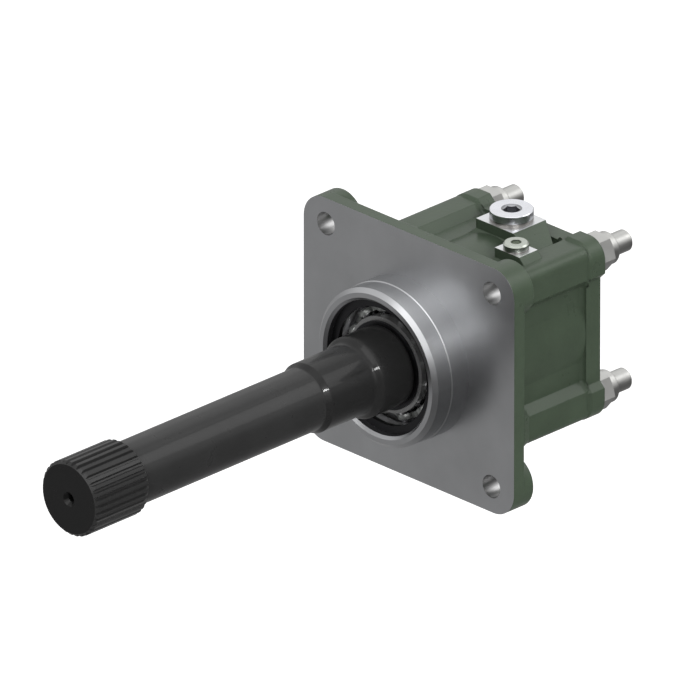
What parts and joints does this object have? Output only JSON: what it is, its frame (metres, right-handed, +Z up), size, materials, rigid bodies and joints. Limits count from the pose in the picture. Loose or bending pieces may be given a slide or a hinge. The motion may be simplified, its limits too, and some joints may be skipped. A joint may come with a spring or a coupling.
{
  "type": "power take off unit",
  "caption": "Flanged housing that takes drive from a gearbox by a long splined shaft and passes it, through an air-shifted sleeve clutch, to a pump bolted on its studs.",
  "frame": {"origin": "centre of the mounting flange's front face, on the shaft axis", "axes": "-Y along the input shaft, out of the flange's front face; +Y towards the pump face; +X to the right seen from the front; +Z up, towards the port plugs"},
  "size_m": [0.1554, 0.3705, 0.141],
  "materials": {
    "painted_casting": "grey-green paint, bare and machined on the flange face and spigot",
    "shaft_steel": "black phosphate, satin",
    "gear_steel": "ground and case hardened",
    "bearing_steel": "ground and polished",
    "cage_steel": "pressed sheet",
    "spring_steel": "black oxide",
    "zinc_steel": "zinc plated",
    "plug_chrome": "bright plated",
    "plug_nickel": "satin nickel plated",
    "bronze": "machined bronze",
    "machined_aluminium": "machined",
    "seal_rubber": "black rubber"
  },
  "bodies": {
    "housing": {"housing": "painted_casting", "front_bearing_outer_ring": "bearing_steel", "front_bore_circlip": "spring_steel", "piston_guide": "machined_aluminium", "guide_neck_seal": "seal_rubber", "guide_seal": "seal_rubber", "guide_circlip": "spring_steel", "rear_bearing_outer_ring": "bearing_steel", "rear_bearing_seal": "seal_rubber", "rear_bore_circlip": "spring_steel", "return_spring": "spring_steel", "mounting_studs": "zinc_steel", "mounting_nuts": "zinc_steel", "air_port_plug": "plug_chrome", "air_port_washer": "zinc_steel", "switch_port_plug": "plug_nickel", "switch_port_washer": "zinc_steel"},
    "input_shaft": {"input_shaft": "shaft_steel", "front_bearing_inner_ring": "bearing_steel", "front_shaft_circlip": "spring_steel"},
    "front_cage": {"front_bearing_cage": "cage_steel", "front_bearing_balls": "bearing_steel"},
    "output_shaft": {"output_shaft": "gear_steel", "pilot_bush": "bronze", "rear_bearing_inner_ring": "bearing_steel", "rear_shaft_circlip": "spring_steel"},
    "rear_cage": {"rear_bearing_cage": "cage_steel", "rear_bearing_balls": "bearing_steel"},
    "piston": {"shift_piston": "machined_aluminium", "piston_seal": "seal_rubber", "shift_ring_halves": "bronze", "shift_ring_snap_ring": "spring_steel"},
    "sleeve": {"clutch_sleeve": "gear_steel"}
  },
  "joints": [
    {"name": "input_shaft_spin", "type": "hinge", "parent": "housing", "child": "input_shaft", "pos_m": [0, 0, 0], "axis": [0, 1, 0], "continuous": true},
    {"name": "front_cage_spin", "type": "hinge", "parent": "housing", "child": "front_cage", "pos_m": [0, -0.009, 0], "axis": [0, 1, 0], "continuous": true},
    {"name": "output_shaft_spin", "type": "hinge", "parent": "housing", "child": "output_shaft", "pos_m": [0, 0.074, 0], "axis": [0, 1, 0], "continuous": true},
    {"name": "rear_cage_spin", "type": "hinge", "parent": "housing", "child": "rear_cage", "pos_m": [0, 0.074, 0], "axis": [0, 1, 0], "continuous": true},
    {"name": "piston_slide", "type": "slide", "parent": "housing", "child": "piston", "axis": [0, -1, 0], "range_m": [0, 0.012], "stiffness_N_per_m": 800, "springref_m": -0.006, "deforming": ["return_spring"]},
    {"name": "sleeve_slide", "type": "slide", "parent": "output_shaft", "child": "sleeve", "axis": [0, -1, 0], "range_m": [0, 0.012]}
  ],
  "couplings": [
    {"joint": "front_cage_spin", "follows": "input_shaft_spin", "ratio": 0.4275},
    {"joint": "rear_cage_spin", "follows": "output_shaft_spin", "ratio": 0.4477},
    {"joint": "sleeve_slide", "follows": "piston_slide", "ratio": 1}
  ]
}
